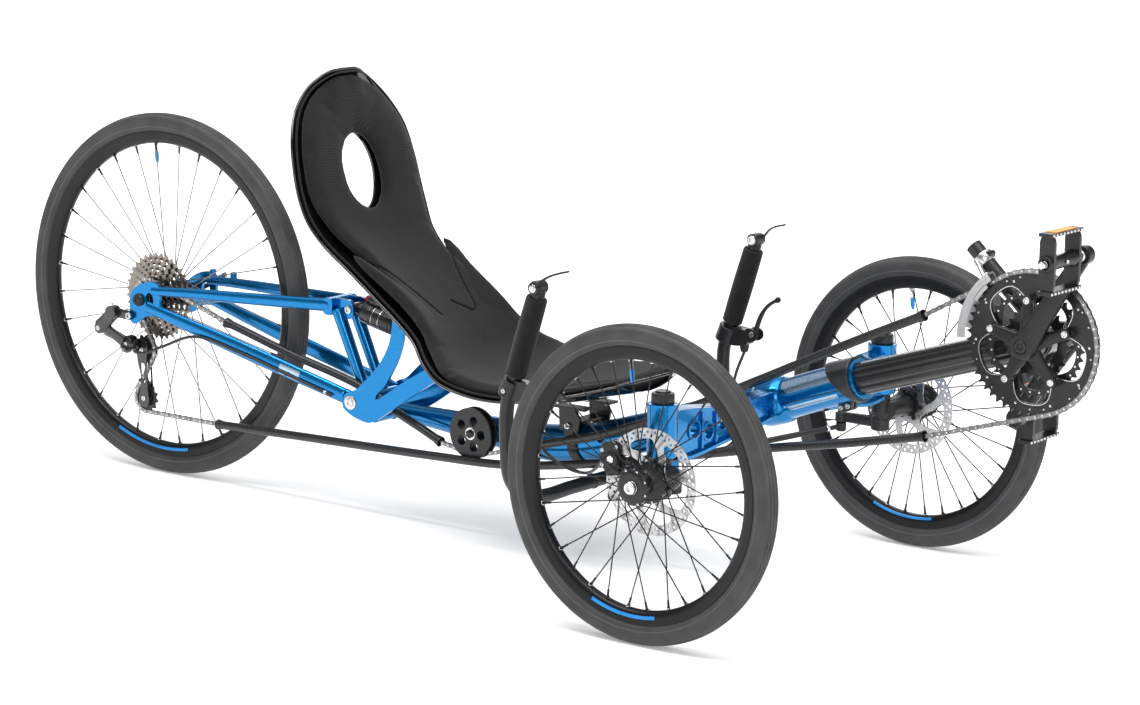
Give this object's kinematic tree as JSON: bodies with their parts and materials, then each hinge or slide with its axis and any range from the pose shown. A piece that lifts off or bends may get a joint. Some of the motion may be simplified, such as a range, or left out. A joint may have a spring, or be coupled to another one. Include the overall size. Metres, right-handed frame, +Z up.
{
  "type": "adult tricycle",
  "caption": "Recumbent tadpole tricycle: two steered front wheels, sprung rear wheel, boom-mounted cranks, reclined padded shell seat and under-seat handlebar.",
  "frame": {"origin": "on the ground, under the middle of the tricycle's bounding box", "axes": "+X forward, +Y to the rider's left, +Z up"},
  "size_m": [2.1512, 0.82, 0.7367],
  "materials": {
    "anodised": "satin black anodised",
    "bare_steel": "bright",
    "black_metal": "satin black",
    "chain_steel": "bright, lightly oiled",
    "foam": "soft matte foam",
    "frame_paint": "gloss metallic blue paint",
    "guide_tube": "black, slightly glossy",
    "plastic": "black",
    "seat_cloth": "matte dark textile over foam",
    "seat_composite": "gloss black",
    "tyre": "slick tread"
  },
  "bodies": {
    "frame": {"main_tube": "frame_paint", "pivot_bracket": "frame_paint", "cross_beam": "frame_paint", "strut_cap_right": "plastic", "strut_cap_left": "plastic", "boom": "anodised", "boom_clamp": "black_metal", "front_derailleur": "bare_steel", "seat_pad": "seat_cloth", "seat_shell": "seat_composite", "seat_bracket": "black_metal", "chain": "chain_steel", "chain_tube_drive_rear": "guide_tube", "chain_tube_drive_front": "guide_tube", "chain_tube_return": "guide_tube", "brake_hose_right": "guide_tube", "brake_hose_left": "guide_tube"},
    "crankset": {"crank_right": "black_metal", "crank_left": "black_metal", "chainring_outer": "black_metal", "chainring_inner": "black_metal"},
    "pedal_right": {"pedal_right": "plastic"},
    "pedal_left": {"pedal_left": "plastic"},
    "idler": {"idler_pulley": "plastic"},
    "swingarm": {"swingarm": "frame_paint", "rear_derailleur": "black_metal", "shift_cable": "guide_tube"},
    "rear_wheel": {"rear_tyre": "tyre", "rear_rim": "anodised", "rear_hub": "bare_steel"},
    "cassette": {"cassette": "bare_steel"},
    "jockey_upper": {"jockey_wheel_upper": "plastic"},
    "jockey_lower": {"jockey_wheel_lower": "plastic"},
    "shock_shaft": {"shock_shaft": "bare_steel"},
    "shock_body": {"shock_body": "black_metal"},
    "handlebar": {"handlebar": "black_metal", "grip_right": "foam", "grip_left": "foam", "brake_perch_right": "black_metal", "brake_perch_left": "black_metal"},
    "tie_rod_right": {"tie_rod_right": "black_metal"},
    "knuckle_right": {"steering_knuckle_right": "black_metal", "brake_caliper_right": "black_metal"},
    "front_wheel_right": {"front_tyre_right": "tyre", "front_rim_right": "anodised", "front_hub_right": "anodised", "brake_rotor_right": "bare_steel"},
    "brake_lever_right": {"brake_lever_right": "black_metal"},
    "shift_lever_right": {"shift_lever_right": "plastic"},
    "tie_rod_left": {"tie_rod_left": "black_metal"},
    "knuckle_left": {"steering_knuckle_left": "black_metal", "brake_caliper_left": "black_metal"},
    "front_wheel_left": {"front_tyre_left": "tyre", "front_rim_left": "anodised", "front_hub_left": "anodised", "brake_rotor_left": "bare_steel"},
    "brake_lever_left": {"brake_lever_left": "black_metal"},
    "shift_lever_left": {"shift_lever_left": "plastic"}
  },
  "joints": [
    {"name": "swingarm_hinge", "type": "hinge", "parent": "frame", "child": "swingarm", "pos_m": [-0.29512, 0, 0.197], "axis": [0, 1, 0], "range_deg": [0, 10], "stiffness_Nm_per_rad": 1500, "springref_deg": -2.86, "deforming": ["chain"]},
    {"name": "rear_wheel_spin", "type": "hinge", "parent": "swingarm", "child": "rear_wheel", "pos_m": [-0.76212, 0, 0.3135], "axis": [0, 1, 0], "continuous": true},
    {"name": "cassette_spin", "type": "hinge", "parent": "swingarm", "child": "cassette", "pos_m": [-0.76212, 0, 0.3135], "axis": [0, 1, 0], "continuous": true},
    {"name": "jockey_upper_spin", "type": "hinge", "parent": "swingarm", "child": "jockey_upper", "pos_m": [-0.77412, 0, 0.222], "axis": [0, 1, 0], "continuous": true},
    {"name": "jockey_lower_spin", "type": "hinge", "parent": "swingarm", "child": "jockey_lower", "pos_m": [-0.77012, 0, 0.138], "axis": [0, 1, 0], "continuous": true},
    {"name": "crank_spin", "type": "hinge", "parent": "frame", "child": "crankset", "pos_m": [0.96688, 0, 0.453], "axis": [0, 1, 0], "continuous": true},
    {"name": "pedal_right_spin", "type": "hinge", "parent": "crankset", "child": "pedal_right", "pos_m": [1.05947, 0, 0.59557], "axis": [0, 1, 0], "continuous": true},
    {"name": "pedal_left_spin", "type": "hinge", "parent": "crankset", "child": "pedal_left", "pos_m": [0.87429, 0, 0.31043], "axis": [0, 1, 0], "continuous": true},
    {"name": "idler_spin", "type": "hinge", "parent": "frame", "child": "idler", "pos_m": [-0.05512, 0, 0.176], "axis": [0, 1, 0], "continuous": true},
    {"name": "shock_shaft_hinge", "type": "hinge", "parent": "frame", "child": "shock_shaft", "pos_m": [-0.20212, 0, 0.311], "axis": [0, 1, 0], "range_deg": [0, 5.3]},
    {"name": "shock_body_slide", "type": "slide", "parent": "shock_shaft", "child": "shock_body", "axis": [0.9783, 0, -0.2071], "range_m": [0, 0.0235]},
    {"name": "handlebar_hinge", "type": "hinge", "parent": "frame", "child": "handlebar", "pos_m": [0.30288, 0, 0.142], "axis": [0, 0, 1], "range_deg": [-25, 25], "deforming": ["brake_hose_right", "brake_hose_left"]},
    {"name": "tie_rod_hinge_right", "type": "hinge", "parent": "handlebar", "child": "tie_rod_right", "pos_m": [0.22288, -0.01, 0.15], "axis": [0, 0, 1], "range_deg": [-25, 25]},
    {"name": "steering_hinge_right", "type": "hinge", "parent": "frame", "child": "knuckle_right", "pos_m": [0.49788, -0.3, 0.2365], "axis": [0, 0, 1], "range_deg": [-25, 25]},
    {"name": "front_wheel_spin_right", "type": "hinge", "parent": "knuckle_right", "child": "front_wheel_right", "pos_m": [0.51788, -0.382, 0.2365], "axis": [0, 1, 0], "continuous": true},
    {"name": "brake_lever_hinge_right", "type": "hinge", "parent": "handlebar", "child": "brake_lever_right", "pos_m": [0.26188, -0.288, 0.33], "axis": [0, -1, 0], "range_deg": [0, 25], "stiffness_Nm_per_rad": 2, "springref_deg": -5.73},
    {"name": "shift_lever_hinge_right", "type": "hinge", "parent": "handlebar", "child": "shift_lever_right", "pos_m": [0.25888, -0.288, 0.484], "axis": [0, 1, 0], "range_deg": [-35, 60]},
    {"name": "tie_rod_hinge_left", "type": "hinge", "parent": "handlebar", "child": "tie_rod_left", "pos_m": [0.22288, 0.01, 0.15], "axis": [0, 0, 1], "range_deg": [-25, 25]},
    {"name": "steering_hinge_left", "type": "hinge", "parent": "frame", "child": "knuckle_left", "pos_m": [0.49788, 0.3, 0.2365], "axis": [0, 0, 1], "range_deg": [-25, 25]},
    {"name": "front_wheel_spin_left", "type": "hinge", "parent": "knuckle_left", "child": "front_wheel_left", "pos_m": [0.51788, 0.382, 0.2365], "axis": [0, 1, 0], "continuous": true},
    {"name": "brake_lever_hinge_left", "type": "hinge", "parent": "handlebar", "child": "brake_lever_left", "pos_m": [0.26188, 0.288, 0.33], "axis": [0, -1, 0], "range_deg": [0, 25], "stiffness_Nm_per_rad": 2, "springref_deg": -5.73},
    {"name": "shift_lever_hinge_left", "type": "hinge", "parent": "handlebar", "child": "shift_lever_left", "pos_m": [0.25888, 0.288, 0.484], "axis": [0, 1, 0], "range_deg": [-35, 60]}
  ],
  "couplings": [
    {"joint": "cassette_spin", "follows": "crank_spin", "ratio": 3.25},
    {"joint": "idler_spin", "follows": "crank_spin", "ratio": -2.8889},
    {"joint": "jockey_upper_spin", "follows": "crank_spin", "ratio": -4.3333},
    {"joint": "jockey_lower_spin", "follows": "crank_spin", "ratio": 4.3333},
    {"joint": "shock_shaft_hinge", "follows": "swingarm_hinge", "ratio": 0.525},
    {"joint": "shock_body_slide", "follows": "swingarm_hinge", "m_per_rad": 0.1336},
    {"joint": "tie_rod_hinge_right", "follows": "handlebar_hinge", "ratio": -1},
    {"joint": "steering_hinge_right", "follows": "handlebar_hinge", "ratio": 1},
    {"joint": "tie_rod_hinge_left", "follows": "handlebar_hinge", "ratio": -1},
    {"joint": "steering_hinge_left", "follows": "handlebar_hinge", "ratio": 1}
  ]
}
